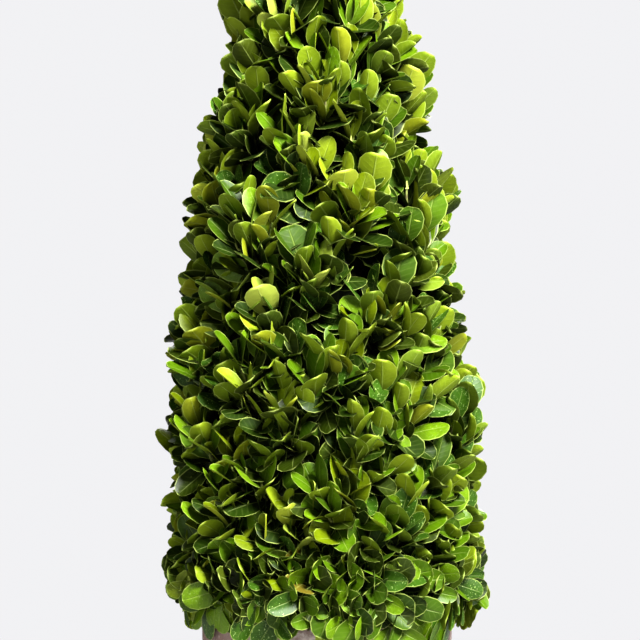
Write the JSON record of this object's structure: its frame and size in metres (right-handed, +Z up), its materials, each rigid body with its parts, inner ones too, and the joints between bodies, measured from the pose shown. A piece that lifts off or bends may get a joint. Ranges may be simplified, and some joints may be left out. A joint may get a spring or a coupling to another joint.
{
  "type": "potted boxwood cone topiary",
  "caption": "Boxwood bush clipped to a slender, slightly leaning cone of small dense leaves, on a short stem in a plain round clay pot with a thick collar rim.",
  "frame": {"origin": "middle of the pot's flat underside", "axes": "+Z up along the pot's axis; the pictured side faces -Y, with +X to its right"},
  "size_m": [0.1798, 0.1734, 0.5873],
  "materials": {
    "clay": "matte",
    "soil": "matte",
    "bark": "matte",
    "foliage": "satin"
  },
  "bodies": {
    "root": {"pot": "clay", "soil": "soil", "stem": "bark", "crown": "foliage"}
  },
  "joints": []
}
